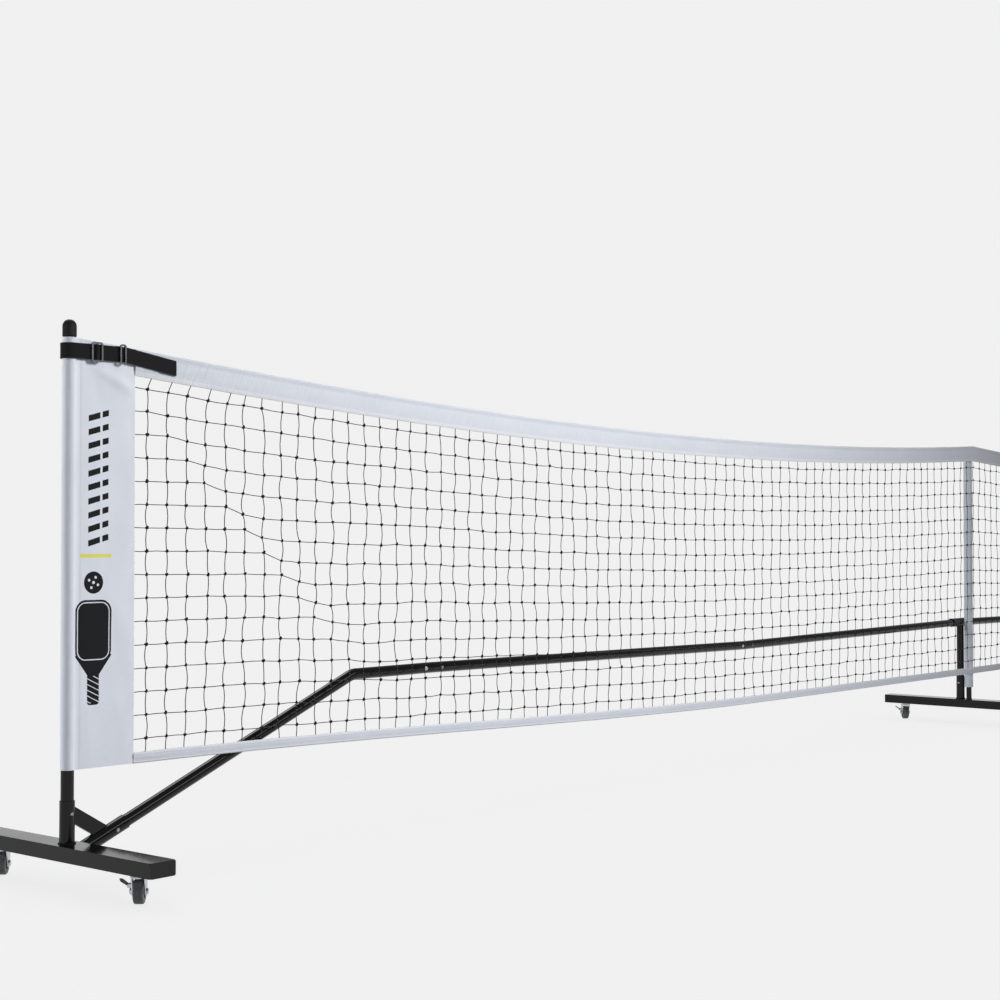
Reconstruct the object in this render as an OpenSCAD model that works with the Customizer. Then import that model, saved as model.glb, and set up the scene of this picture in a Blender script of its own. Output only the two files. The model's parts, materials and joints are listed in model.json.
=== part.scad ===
// Portable court net: three wheeled bases, push-button tube frame, two-height net.
// Millimetres, +Z up, X along the net, -Y towards the player in front.
// The origin is on the floor under the middle of the net.

/* [Court] */
// Distance between the two side posts, centre to centre
court_w = 6706; // [2000:1:8000]
// Top of the net at the side posts
net_h_side = 914; // [700:1:1100]
// Top of the net at the centre
net_h_mid = 864; // [660:1:1060]
// Bottom of the net at the side posts
net_low_side = 197; // [185:1:300]
// Bottom of the net at the centre
net_low_mid = 157; // [150:1:280]
// How far the top edge hangs below a straight line at the middle of each half
top_sag = 60; // [0:1:100]
// Share of each half over which the bottom edge comes down to its height at the centre
low_share = 0.63; // [0.3:0.01:1]

/* [Bases] */
// Length of each base tube, across the net
base_len = 490; // [360:1:900]
// Width of each base tube
base_w = 50; // [42:1:90]
// Height of each base tube
base_h = 25; // [20:1:50]
// Wall of each base tube
base_wall = 1.5; // [1:0.1:3]
// Height of the casters, floor to base
caster_h = 51; // [49:1:90]
// Distance of each swivel from the middle of its base
caster_y = 187; // [120:1:400]

/* [Tubes] */
// Outer diameter of the uprights and crossbars
tube_d = 22; // [18:0.1:30]
// Wall of the uprights and crossbars
tube_wall = 1.2; // [0.8:0.1:2]
// Gap between a tube and what it slides into, on the radius
slide_gap = 0.2; // [0.1:0.05:0.3]
// Wall of the welded sockets
socket_wall = 1.5; // [1:0.1:3]
// Height of the welded upright sockets
socket_len = 71; // [60:1:120]
// Length of the welded crossbar sockets
bar_socket_len = 100; // [90:1:140]
// Height of the side posts' tops, under their caps
post_top = 932; // [850:1:1200]
// Outer diameter of the net's own centre post
mid_post_d = 16; // [12:0.1:20]
// Distance of the centre post's axis in front of the centre stand's outside
mid_post_gap = 17; // [15:0.5:34]

/* [Crossbars] */
// Height of the level run of the crossbars
bar_z = 315; // [250:1:360]
// Height of the crossbar's axis where its socket meets the base
bar_foot_z = 61; // [54:1:70]
// Distance of the elbow from the side post
elbow_u = 664; // [400:1:800]
// Distance of the elbow bar's end from the side post
joint_a_u = 890; // [700:1:1000]
// Distance of the middle joint from the side post of a 6706 wide court
joint_b_at = 2090; // [1500:1:2400]
// How far each crossbar droops at its middle joint
bar_droop = 12; // [0:1:14]
// Half length of the spigot inside each crossbar joint
spigot_half = 46; // [38:1:48]
// Distance of the rivet and the button from a crossbar joint
joint_pin_u = 24; // [18:1:28]
// Half length of the centre tee
tee_half = 65; // [45:1:90]
// Width of the flat brace between the two sockets
brace_w = 25; // [15:1:30]
// Thickness of the flat brace
brace_t = 6; // [3:0.5:10]

/* [Casters] */
// Diameter of a caster wheel
wheel_d = 40; // [34:1:40]
// Width of a caster wheel
wheel_w = 17; // [12:1:20]
// Diameter of a caster's axle bolt
axle_d = 6; // [5:0.1:7]
// Distance of the axle behind the swivel
caster_trail = 10; // [6:1:14]
// Heading of the wheels' axles at rest, in degrees from the net
caster_turn = -48; // [-90:1:90]
// Diameter of the swivel stem
stem_d = 8; // [6:0.1:9]
// Thickness of the pressed fork plate
fork_t = 2; // [1.5:0.1:2.5]

/* [Snap buttons] */
// Diameter of a snap button
button_d = 7; // [6:0.1:8]
// How far a button stands out of its tube
button_out = 2; // [1:0.1:3]
// How far a button presses in
button_travel = 3.5; // [2:0.1:4]

/* [Net] */
// Width of the fabric panel beside each post
panel_w = 123; // [100:1:200]
// Height of the white band along the top
headband_h = 46; // [40:1:80]
// Height of the white band along the bottom
lowband_h = 19; // [14:1:40]
// Thickness of the netting
netting_t = 1.6; // [1:0.1:3]
// Thickness of one layer of fabric
fabric_t = 1; // [0.5:0.1:1.5]
// Diameter of the cord in the headband
top_cord_d = 5; // [3:0.5:6]
// Diameter of the cord in the bottom band
low_cord_d = 3; // [2:0.5:4]
// Outer diameter of the sleeve on the centre post
mid_sleeve_d = 27; // [24:0.5:28]
// Height of the centre sleeve's lower end
mid_sleeve_low = 114; // [100:1:140]

/* [Straps] */
// Width of the webbing
strap_w = 26; // [20:1:30]
// Thickness of the webbing
strap_t = 1.6; // [1:0.1:2.5]
// Distance of the strap's front end from the post
strap_end_u = 207; // [180:1:320]
// Distance of the strap's back end from the post
strap_back_u = 60; // [50:1:95]
// Height of the top of the strap at the post
strap_top = 904; // [800:1:1050]
// Thickness of the buckles' wire
wire_d = 3; // [2:0.1:4]

/* [Hidden] */
$fn = 48;

// Places of the frame
half_w = court_w / 2;
base_top = caster_h + base_h;
tube_r = tube_d / 2;
bore_r = tube_r - tube_wall;
socket_bore_r = tube_r + slide_gap;
socket_r = socket_bore_r + socket_wall;
mid_post_out = mid_post_gap + tube_r;
post_button_z = base_top + socket_len - 21;
stand_top = bar_z - socket_r;
eps = 0.01;
cut = 2;

// Crossbars, in the plane y = 0, by their distance u from the side post
foot_u = base_w / 2;
joint_b_u = joint_b_at * court_w / 6706;
elbow_angle = atan2(bar_z - bar_foot_z, elbow_u - foot_u);
foot_gap = 10;
foot_button_s = bar_socket_len - 26;
elbow_r = 55;
outer_angle = atan2(bar_droop, joint_b_u - joint_a_u);
inner_end_u = half_w - 5;
inner_angle = atan2(bar_droop, half_w - joint_b_u);
tee_bore_r = tube_r + tee_half * tan(inner_angle) + 0.1;
tee_r = tee_bore_r + socket_wall;
spigot_r = bore_r - 0.6;
spigot_wall = 1.2;
rivet_d = 5;
rivet_gap = 0.05;

// Net planes, by distance in front of the posts
wrap_gap = 0.3;
sleeve_in_r = tube_r + wrap_gap;
sleeve_out_r = sleeve_in_r + fabric_t;
band_t = top_cord_d + 2 * fabric_t + 0.4;
lowband_t = low_cord_d + 2 * fabric_t + 0.4;
mid_sleeve_r = mid_sleeve_d / 2;
net_y_side = sleeve_out_r + netting_t / 2 + 3;
net_y_mid = mid_post_out + mid_sleeve_r + band_t / 2 + wrap_gap;
net_turn = atan2(net_y_mid - net_y_side, half_w - panel_w);
NET_STEPS = 16;
seam_gap = 0.1;
strap_gap = 0.3;
strap_r = sleeve_out_r + strap_gap;
strap_z = strap_top - strap_w / 2;
strap_front = net_y_side + band_t / 2 + strap_gap + strap_t;
ring_u = 92;
glide_u = 42;
strap_drop = atan2(net_h_side - net_h_mid + 4 * top_sag, half_w);

// Caster places, one row for each: [x, y]
CASTERS = [for (x = [-half_w, 0, half_w]) for (y = [-caster_y, caster_y]) [x, y]];
axle_r = axle_d / 2;
axle_z = wheel_d / 2;
wheel_gap = 1.2;
leg_in = wheel_w / 2 + wheel_gap;
leg_out = leg_in + fork_t;
crown_top = caster_h - 4.5;
race_gap = 0.4;
stem_gap = 0.05;
stem_fit = 0.2;
axle_nut_r = axle_r + 2.4;
lever_barrel_r = 3.1;
lever_z = axle_z + axle_nut_r + lever_barrel_r + 1;
lever_pin_r = 1.6;
lever_gap = 0.3;

// Button places, one for each: [name, side, u, z, pitch of its tube, heading, tube bore, outer radius]
BUTTONS = [
    ["left_post_button", -1, 0, post_button_z, 90, 0, bore_r, socket_r],
    ["right_post_button", 1, 0, post_button_z, 90, 0, bore_r, socket_r],
    ["left_foot_button", -1, foot_u + foot_button_s * cos(elbow_angle),
        bar_foot_z + foot_button_s * sin(elbow_angle), elbow_angle, 0, bore_r, socket_r],
    ["right_foot_button", 1, foot_u + foot_button_s * cos(elbow_angle),
        bar_foot_z + foot_button_s * sin(elbow_angle), elbow_angle, 0, bore_r, socket_r],
    ["left_elbow_button", -1, joint_a_u + joint_pin_u, outer_z(joint_a_u + joint_pin_u),
        -outer_angle, 0, spigot_r - spigot_wall, tube_r],
    ["right_elbow_button", 1, joint_a_u + joint_pin_u, outer_z(joint_a_u + joint_pin_u),
        -outer_angle, 0, spigot_r - spigot_wall, tube_r],
    ["left_bar_button", -1, joint_b_u + joint_pin_u, inner_z(joint_b_u + joint_pin_u),
        inner_angle, 0, spigot_r - spigot_wall, tube_r],
    ["right_bar_button", 1, joint_b_u + joint_pin_u, inner_z(joint_b_u + joint_pin_u),
        inner_angle, 0, spigot_r - spigot_wall, tube_r],
    ["centre_button", -1, half_w, post_button_z, 90, -90, bore_r, socket_r]
];
button_gap = 0.25;
button_r = button_d / 2;
flange_r = button_r + 1.2;
spring_t = 0.8;
spring_w = 5;

// Height of a drooping crossbar's axis
function outer_z(u) = bar_z - (u - joint_a_u) * tan(outer_angle);
function inner_z(u) = bar_z - bar_droop + (u - joint_b_u) * tan(inner_angle);

// Height of the net's edges at distance u from a side post
function hang(u, side, mid, sag) =
    side - (side - mid) * u / half_w - 4 * sag * (u / half_w) * (1 - u / half_w);
function net_top(u) = hang(u, net_h_side, net_h_mid, top_sag);
function net_low(u) = let (t = min(1, u / (low_share * half_w)))
    net_low_side - (net_low_side - net_low_mid) * t * t * (3 - 2 * t);
net_start_u = panel_w + seam_gap;
function net_us() = [for (i = [0:NET_STEPS]) net_start_u + (half_w - net_start_u) * i / NET_STEPS];
function net_y(u) = net_y_side + (net_y_mid - net_y_side) * (u - panel_w) / (half_w - panel_w);

// ---------- placing ----------

// Shapes drawn by their distance u from a side post, put on the left (-1) or right (1) half
module half(side) {
    mirror([side > 0 ? 1 : 0, 0, 0]) translate([-half_w, 0, 0]) children();
}

module both() {
    half(-1) children();
    half(1) children();
}

// A tube's own frame: x along the tube from a point in the plane y = 0
module along(u, z, pitch) {
    translate([u, 0, z]) rotate([0, -pitch, 0]) children();
}

// Rod along x
module rod(r, from, to) {
    translate([from, 0, 0]) rotate([0, 90, 0]) cylinder(r = r, h = to - from);
}

module pipe(r_out, r_in, from, to) {
    difference() {
        rod(r_out, from, to);
        rod(r_in, from - cut, to + cut);
    }
}

// Hole for a button, from the front of a tube that runs along x
module button_hole(at, gap = button_gap) {
    translate([at, 0, 0]) rotate([90, 0, 0]) cylinder(r = button_r + gap, h = socket_r + cut);
}

// Rivet hole right through a tube that runs along x
module rivet_hole(at, gap = rivet_gap) {
    translate([at, -socket_r - cut, 0]) rotate([-90, 0, 0])
        cylinder(r = rivet_d / 2 + gap, h = 2 * (socket_r + cut));
}

// Hole for a button in an upright tube, turned to face the front (0) or the left (-90)
module upright_button_hole(heading) {
    translate([0, 0, post_button_z]) rotate(heading) rotate([90, 0, 0])
        cylinder(r = button_r + button_gap, h = socket_r + cut);
}

// ---------- bases ----------

module base_tube(x) {
    color([0.05, 0.05, 0.06]) translate([x, 0, caster_h]) difference() {
        translate([-base_w / 2, -base_len / 2, 0]) cube([base_w, base_len, base_h]);
        translate([-base_w / 2 + base_wall, -base_len / 2 - cut, base_wall])
            cube([base_w - 2 * base_wall, base_len + 2 * cut, base_h - 2 * base_wall]);
        for (y = [-caster_y, caster_y])
            translate([0, y, -cut]) cylinder(r = stem_d / 2 + stem_fit, h = base_wall + 2 * cut);
    }
}

cap_t = 3;
cap_plug = 14;
cap_gap = 0.2;

module base_end_caps() {
    for (x = [-half_w, 0, half_w]) for (turn = [0, 180])
        color([0.03, 0.03, 0.03]) translate([x, 0, caster_h]) rotate(turn) {
            translate([-base_w / 2, base_len / 2, 0]) end_cap_plate();
            difference() {
                translate([-base_w / 2 + base_wall + cap_gap, base_len / 2 - cap_plug,
                           base_wall + cap_gap])
                    cube([base_w - 2 * (base_wall + cap_gap), cap_plug + 1,
                          base_h - 2 * (base_wall + cap_gap)]);
                translate([-base_w / 2 + base_wall + 2, base_len / 2 - cap_plug - cut,
                           base_wall + 2])
                    cube([base_w - 2 * (base_wall + 2), cap_plug + cut,
                          base_h - 2 * (base_wall + 2)]);
            }
        }
}

// Outer plate of an end cap, its four upright edges rounded
module end_cap_plate() {
    corner = 3;
    rotate([-90, 0, 0]) linear_extrude(cap_t) translate([0, -base_h]) {
        translate([corner, 0]) square([base_w - 2 * corner, base_h]);
        translate([0, corner]) square([base_w, base_h - 2 * corner]);
        for (x = [corner, base_w - corner]) for (y = [corner, base_h - corner])
            translate([x, y]) circle(corner);
    }
}

// Upright sockets on the three bases, and the peg that the centre post stands over
module post_sockets() {
    color([0.05, 0.05, 0.06]) {
        for (x = [-half_w, 0, half_w])
            translate([x, 0, 0]) difference() {
                translate([0, 0, base_top]) cylinder(r = socket_r, h = socket_len);
                translate([0, 0, base_top - cut]) cylinder(r = socket_bore_r, h = socket_len + 2 * cut);
                upright_button_hole(x == 0 ? -90 : 0);
            }
        translate([0, -mid_post_out, base_top]) cylinder(r = mid_post_d / 2 - tube_wall - peg_gap, h = peg_h);
    }
}

peg_h = 32;
peg_gap = 0.4;

// Sloping sockets on the side bases
module bar_sockets() {
    color([0.05, 0.05, 0.06]) both() difference() {
        along(foot_u, bar_foot_z, elbow_angle) difference() {
            rod(socket_r, -socket_r, bar_socket_len);
            rod(socket_bore_r, -2 * socket_r, bar_socket_len + cut);
            button_hole(foot_button_s);
        }
        translate([foot_u - 60, -30, 0]) cube([60, 60, 120]);
    }
}

// Flat braces welded between the upright and the sloping socket
module braces() {
    color([0.05, 0.05, 0.06]) both() difference() {
        brace_plate();
        translate([0, 0, base_top - cut]) cylinder(r = socket_r, h = socket_len + 2 * cut);
        along(foot_u, bar_foot_z, elbow_angle) rod(socket_r, -socket_r, bar_socket_len + cut);
    }
}

brace_top_z = base_top + socket_len - 18;
brace_slope = 0.6;

// Distance at which a brace edge that starts at height z on the post's axis meets the socket's axis
function brace_foot_u(z) =
    (z - bar_foot_z + foot_u * tan(elbow_angle)) / (brace_slope + tan(elbow_angle));

// Brace between the two sockets' axes
module brace_plate() {
    rise = brace_w * sqrt(1 + brace_slope * brace_slope) / 2;
    low = brace_top_z - rise;
    high = brace_top_z + rise;
    rotate([90, 0, 0]) translate([0, 0, -brace_t / 2]) linear_extrude(brace_t)
        polygon([[0, low], [brace_foot_u(low), low - brace_slope * brace_foot_u(low)],
                 [brace_foot_u(high), high - brace_slope * brace_foot_u(high)], [0, high]]);
}

// ---------- uprights ----------

module upright() {
    color([0.04, 0.04, 0.05]) difference() {
        translate([0, 0, base_top]) cylinder(r = tube_r, h = post_top - base_top);
        translate([0, 0, base_top - cut]) cylinder(r = bore_r, h = post_top - base_top + 2 * cut);
        upright_button_hole(0);
    }
}

// Domed caps pushed over the uprights' ends, with a plug inside the tube
module post_caps() {
    plug = 12;
    cap_r = tube_r + cap_wall;
    color([0.03, 0.03, 0.03]) both() translate([0, 0, post_top]) rotate_extrude() {
        translate([0, -plug]) square([bore_r - cap_fit, plug + eps]);
        translate([tube_r + cap_fit, -cap_skirt]) square([cap_wall - cap_fit, cap_skirt + eps]);
        intersection() {
            circle(cap_r, $fn = 96);
            square(cap_r);
        }
    }
}

cap_wall = 0.8;
cap_fit = 0.05;
cap_skirt = 16.5;

module centre_stand() {
    color([0.04, 0.04, 0.05]) difference() {
        translate([0, 0, base_top]) cylinder(r = tube_r, h = bar_z - base_top);
        translate([0, 0, base_top - cut]) cylinder(r = bore_r, h = bar_z - base_top + 2 * cut);
        upright_button_hole(-90);
        translate([0, 0, bar_z]) rod(tee_r, -tube_r - cut, tube_r + cut);
    }
}

module centre_tee() {
    color([0.04, 0.04, 0.05]) translate([0, 0, bar_z]) pipe(tee_r, tee_bore_r, -tee_half, tee_half);
}

// The net's own centre post, closed at its top
module centre_post() {
    top = net_h_mid - headband_h / 2;
    color([0.05, 0.05, 0.05]) translate([0, -mid_post_out, 0]) difference() {
        translate([0, 0, base_top]) cylinder(d = mid_post_d, h = top - base_top);
        translate([0, 0, base_top - cut])
            cylinder(d = mid_post_d - 2 * tube_wall, h = top - base_top - tube_wall + cut);
    }
}

// ---------- crossbars ----------

module elbow_bar() {
    color([0.04, 0.04, 0.05]) difference() {
        elbow_core(tube_r, 0, bend_swell);
        elbow_core(bore_r, cut, -bend_swell);
        along(foot_u, bar_foot_z, elbow_angle) button_hole(foot_button_s);
        along(joint_a_u, bar_z, 0) rivet_hole(-joint_pin_u);
    }
}

// Solid rod of radius r along the elbow bar, longer by `over` at each end. The press leaves the
// bend thicker than the straight runs by `swell`, which enter it by a short way.
module elbow_core(r, over, swell) {
    level = elbow_r * tan(elbow_angle / 2);
    run = (elbow_u - foot_u) / cos(elbow_angle);
    along(foot_u, bar_foot_z, elbow_angle) rod(r, foot_gap - over, run - level + bend_entry);
    translate([elbow_u + level, 0, bar_z - elbow_r]) rotate([90, 0, 0]) rotate(90)
        rotate_extrude(angle = elbow_angle) translate([elbow_r, 0]) circle(r + swell);
    along(0, bar_z, 0) rod(r, elbow_u + level - bend_entry, joint_a_u + over);
}

bend_swell = 0.1;
bend_entry = 1;

module outer_bar() {
    run = (joint_b_u - joint_a_u) / cos(outer_angle);
    color([0.04, 0.04, 0.05]) along(joint_a_u, bar_z, -outer_angle) difference() {
        pipe(tube_r, bore_r, joint_gap, run - joint_gap);
        button_hole(joint_pin_u);
        rivet_hole(run - joint_pin_u);
    }
}

joint_gap = 0.3;

module inner_bar() {
    run = (inner_end_u - joint_b_u) / cos(inner_angle);
    color([0.04, 0.04, 0.05]) along(joint_b_u, bar_z - bar_droop, inner_angle) difference() {
        pipe(tube_r, bore_r, joint_gap, run);
        button_hole(joint_pin_u);
    }
}

// Pitch of the spigot in each joint, halfway between the two bars that it joins
function spigot_pitch(joint) = joint == 0 ? -outer_angle / 2 : (inner_angle - outer_angle) / 2;

module at_joint(joint) {
    along(joint == 0 ? joint_a_u : joint_b_u, joint == 0 ? bar_z : bar_z - bar_droop,
          spigot_pitch(joint)) children();
}

module bar_spigots() {
    color([0.3, 0.3, 0.32]) both() for (joint = [0, 1]) at_joint(joint) difference() {
        pipe(spigot_r, spigot_r - spigot_wall, -spigot_half, spigot_half);
        rivet_hole(-joint_pin_u, spigot_hole_gap);
        button_hole(joint_pin_u, spigot_hole_gap);
    }
}

spigot_hole_gap = 0.6;

// Rivets square to the bar that each spigot is fixed in
module spigot_rivets() {
    head_r = 4.2;
    head_h = 1.4;
    color([0.6, 0.6, 0.62]) both() for (joint = [0, 1])
        along(joint == 0 ? joint_a_u : joint_b_u, joint == 0 ? bar_z : bar_z - bar_droop,
              joint == 0 ? 0 : -outer_angle)
        translate([-joint_pin_u, 0, 0]) rotate([90, 0, 0]) {
            translate([0, 0, -tube_r - head_h]) cylinder(d = rivet_d, h = 2 * (tube_r + head_h));
            for (end = [0, 1]) mirror([0, 0, end]) translate([0, 0, tube_r + 0.05]) {
                cylinder(r = head_r, h = head_h / 2);
                translate([0, 0, head_h / 2]) cylinder(r1 = head_r, r2 = head_r * 0.6, h = head_h / 2);
            }
        }
}

// ---------- snap buttons ----------

// A button's frame: x along its tube, z out of the tube's front through the button
module at_button(b) {
    half(b[1]) translate([b[2], 0, b[3]]) rotate(b[5]) rotate([0, -b[4], 0]) rotate([90, 0, 0]) children();
}

function button_row(name) = [for (b = BUTTONS) if (b[0] == name) b][0];

// Domed pin, with a flange and a leaf under it inside the tube
module snap_button(name) {
    b = button_row(name);
    bore = b[6];
    seat = sqrt(bore * bore - flange_r * flange_r) - 0.3;
    tip = b[7] + button_out;
    color([0.75, 0.75, 0.77]) at_button(b) {
        translate([0, 0, seat - 0.5]) cylinder(r = button_r, h = tip - 1 - seat + 0.5);
        translate([0, 0, tip - 1]) cylinder(r1 = button_r, r2 = button_r - 1, h = 1);
        translate([0, 0, seat - 1]) cylinder(r = flange_r, h = 1);
        translate([-18, -spring_w / 2, seat - 1 - spring_t]) cube([20, spring_w, spring_t]);
    }
}

// Fixed legs of the springs, bent round behind each button
module button_springs() {
    color([0.7, 0.7, 0.72]) for (b = BUTTONS) at_button(b) {
        bore = b[6];
        leg = sqrt(bore * bore - spring_w * spring_w / 4) - 0.2;
        bend_r = leg / 2 + 0.5;
        translate([-30, -spring_w / 2, -leg]) cube([34, spring_w, spring_t]);
        translate([-30, 0, -leg + bend_r]) rotate([90, 0, 0]) rotate(90)
            translate([0, 0, -spring_w / 2]) rotate_extrude(angle = 180)
                translate([bend_r - spring_t, 0]) square([spring_t, spring_w]);
    }
}

// ---------- net ----------

// Frame of one half of the net: x from the panel's edge, z up, y from the net's mid-plane
module net_half(side) {
    half(side) translate([panel_w, -net_y_side, 0]) rotate(-net_turn) translate([-panel_w, 0, 0])
        children();
}

// Closed outline between two edges of the net, as [u, z] points
function strip(upper, lower) =
    concat([for (i = [0:NET_STEPS]) [net_us()[i], upper[i]]],
           [for (i = [NET_STEPS:-1:0]) [net_us()[i], lower[i]]]);
function tops(drop) = [for (u = net_us()) net_top(u) - drop];
function lows(rise) = [for (u = net_us()) net_low(u) + rise];

module net_slab(points, thick) {
    for (side = [-1, 1]) intersection() {
        net_half(side) rotate([90, 0, 0]) translate([0, 0, -thick / 2]) linear_extrude(thick)
            polygon(points);
        translate([side < 0 ? -court_w : 0, -500, 0]) cube([court_w, 1000, 1200]);
    }
}

top_cord_drop = fabric_t + top_cord_d / 2 + 0.2;
low_cord_rise = fabric_t + low_cord_d / 2 + 0.2;

module headband() {
    room = top_cord_d / 2 + 0.2;
    color([0.93, 0.93, 0.96]) difference() {
        net_slab(strip(tops(0), tops(headband_h)), band_t);
        net_slab(strip(tops(top_cord_drop - room), tops(top_cord_drop + room)), 2 * room);
    }
}

module bottom_band() {
    room = low_cord_d / 2 + 0.2;
    color([0.93, 0.93, 0.96]) difference() {
        net_slab(strip(lows(lowband_h), lows(0)), lowband_t);
        net_slab(strip(lows(low_cord_rise + room), lows(low_cord_rise - room)), 2 * room);
    }
}

module netting() {
    color([0.1, 0.1, 0.1, 0.5]) net_slab(strip(tops(headband_h), lows(lowband_h)), netting_t);
}

// Points along a cord, from the left panel to the right one: [x, y, z]
function cord_half(zs, side) =
    [for (i = [0:NET_STEPS]) let (u = net_us()[i]) [side * (half_w - u), -net_y(u), zs[i]]];
function cord_route(zs) =
    concat(cord_half(zs, -1), [for (i = [NET_STEPS - 1:-1:0]) cord_half(zs, 1)[i]]);

// Eight-sided tube swept along points that run in +X
module cord_tube(route, r) {
    sides = 8;
    n = len(route);
    ring = [for (p = route) for (k = [0:sides - 1])
        p + r * [0, cos(360 * k / sides), sin(360 * k / sides)]];
    walls = [for (i = [0:n - 2]) for (k = [0:sides - 1])
        [i * sides + k, i * sides + (k + 1) % sides,
         (i + 1) * sides + (k + 1) % sides, (i + 1) * sides + k]];
    polyhedron(ring, concat(walls, [[for (k = [sides - 1:-1:0]) k]],
                            [[for (k = [0:sides - 1]) (n - 1) * sides + k]]));
}

module net_cords() {
    color([0.8, 0.8, 0.8]) {
        cord_tube(cord_route(tops(top_cord_drop)), top_cord_d / 2);
        cord_tube(cord_route(lows(low_cord_rise)), low_cord_d / 2);
    }
}

// Fabric tube on the centre post, behind the bands and the netting
module centre_sleeve() {
    color([0.9, 0.9, 0.94]) translate([0, -mid_post_out, mid_sleeve_low]) difference() {
        cylinder(r = mid_sleeve_r, h = net_h_mid - mid_sleeve_low);
        translate([0, 0, -cut])
            cylinder(r = mid_sleeve_r - fabric_t, h = net_h_mid - fabric_t - mid_sleeve_low + cut);
    }
}

// Back face of the side panel, from beside the post to the start of the netting
function panel_back_y(u) = let (start = -sleeve_in_r + 2)
    start + (-net_y_side + netting_t / 2 - start) * (u - sleeve_in_r) / (panel_w - sleeve_in_r);

// Fabric panel with a sleeve round the side post
module side_panel() {
    reach = panel_w;
    color([0.9, 0.9, 0.95]) difference() {
        translate([0, 0, net_low(panel_w) - 20]) linear_extrude(net_h_side - net_low(panel_w) + 20)
            difference() {
                union() {
                    circle(sleeve_out_r);
                    polygon([[0, -sleeve_in_r], [0, -sleeve_out_r],
                             [reach, -net_y_side - netting_t / 2], [reach, panel_back_y(reach)],
                             [sleeve_in_r, panel_back_y(sleeve_in_r)]]);
                }
                circle(sleeve_in_r);
            }
        rotate([90, 0, 0]) translate([0, 0, -50]) linear_extrude(100) {
            polygon([[0, net_top(0)], [reach + cut, net_top(reach + cut)],
                     [reach + cut, net_top(0) + 50], [-50, net_top(0) + 50], [-50, net_top(0)]]);
            polygon([[0, net_low(0)], [reach + cut, net_low(reach + cut)],
                     [reach + cut, net_low(0) - 80], [-50, net_low(0) - 80], [-50, net_low(0)]]);
        }
    }
}

// ---------- straps ----------

// Webbing from the back of the panel round the post to its ring, and the tail sewn to the
// headband beyond the ring
module tension_strap() {
    outer = strap_r + strap_t;
    end_y = panel_back_y(strap_back_u) + strap_gap;
    reach = sqrt(strap_back_u * strap_back_u + end_y * end_y);
    leave = atan2(end_y, strap_back_u) + acos(strap_r / reach);
    back_len = sqrt(reach * reach - strap_r * strap_r);
    color([0.03, 0.03, 0.03]) {
        translate([0, 0, strap_z - strap_w / 2]) linear_extrude(strap_w)
            polygon(concat(
                [[ring_u - 1, -strap_front + strap_t], [ring_u - 1, -strap_front]],
                arc(outer, 270, leave),
                [turned([outer, -back_len], leave), turned([strap_r, -back_len], leave)],
                arc(strap_r, leave, 270)));
        translate([ring_u + 1, -strap_front, strap_z]) rotate(-net_turn) rotate([0, strap_drop, 0])
            translate([0, 0, -strap_w / 2]) cube([strap_end_u - ring_u, strap_t, strap_w]);
    }
}

// Points on a circle from one angle to another, and a point turned about the origin
ARC_STEPS = 24;
function arc(r, from, to) =
    [for (i = [0:ARC_STEPS]) let (a = from + (to - from) * i / ARC_STEPS) r * [cos(a), sin(a)]];
function turned(p, a) = [p[0] * cos(a) - p[1] * sin(a), p[0] * sin(a) + p[1] * cos(a)];

// Flat wire frame, w wide and h tall, its front at y = 0
module wire_frame(w, h) {
    rotate([90, 0, 0]) linear_extrude(wire_d) difference() {
        rounded(w, h, wire_d * 1.5);
        rounded(w - 2 * wire_d, h - 2 * wire_d, wire_d * 0.5);
    }
}

module rounded(w, h, r) {
    square([w - 2 * r, h], center = true);
    square([w, h - 2 * r], center = true);
    for (x = [-1, 1]) for (y = [-1, 1]) translate([x * (w / 2 - r), y * (h / 2 - r)]) circle(r);
}

glide_w = 22;
ring_w = 13;
buckle_gap = 0.15;

// Three-bar slide and plain ring on each strap
module strap_buckles() {
    h = strap_w + 2 * wire_d + 2;
    color([0.75, 0.75, 0.77]) both() {
        slope = atan2(strap_front - strap_r - strap_t, ring_u);
        translate([0, -strap_r - strap_t - buckle_gap, strap_z]) rotate(-slope)
            translate([glide_u, 0, 0]) {
                wire_frame(glide_w, h);
                translate([-wire_d / 2, -wire_d, -h / 2 + 1]) cube([wire_d, wire_d, h - 2]);
            }
        translate([ring_u, -strap_front - buckle_gap, strap_z]) wire_frame(ring_w, h);
    }
}

// ---------- casters ----------

// A caster's frame: z up from the floor under its swivel, x along its axle
module at_caster(i) {
    translate([CASTERS[i - 1][0], CASTERS[i - 1][1], 0]) rotate(caster_turn) children();
}

stem_flange_r = 7;

// Swivel stems with their upper plates, lower flanges and nuts, fixed to the bases
module caster_stems() {
    plate_r = 13;
    color([0.7, 0.7, 0.72]) for (i = [1:6]) at_caster(i) {
        translate([0, 0, crown_top - fork_t - race_gap - 1.5]) cylinder(r = stem_flange_r, h = 1.5);
        translate([0, 0, crown_top - fork_t - race_gap - 1]) cylinder(r = stem_d / 2, h = 24);
        translate([0, 0, crown_top + race_gap]) cylinder(r = plate_r, h = caster_h - crown_top - race_gap);
        translate([0, 0, caster_h + base_wall + 0.2]) cylinder(r = 7, h = 6, $fn = 6);
    }
}

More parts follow.
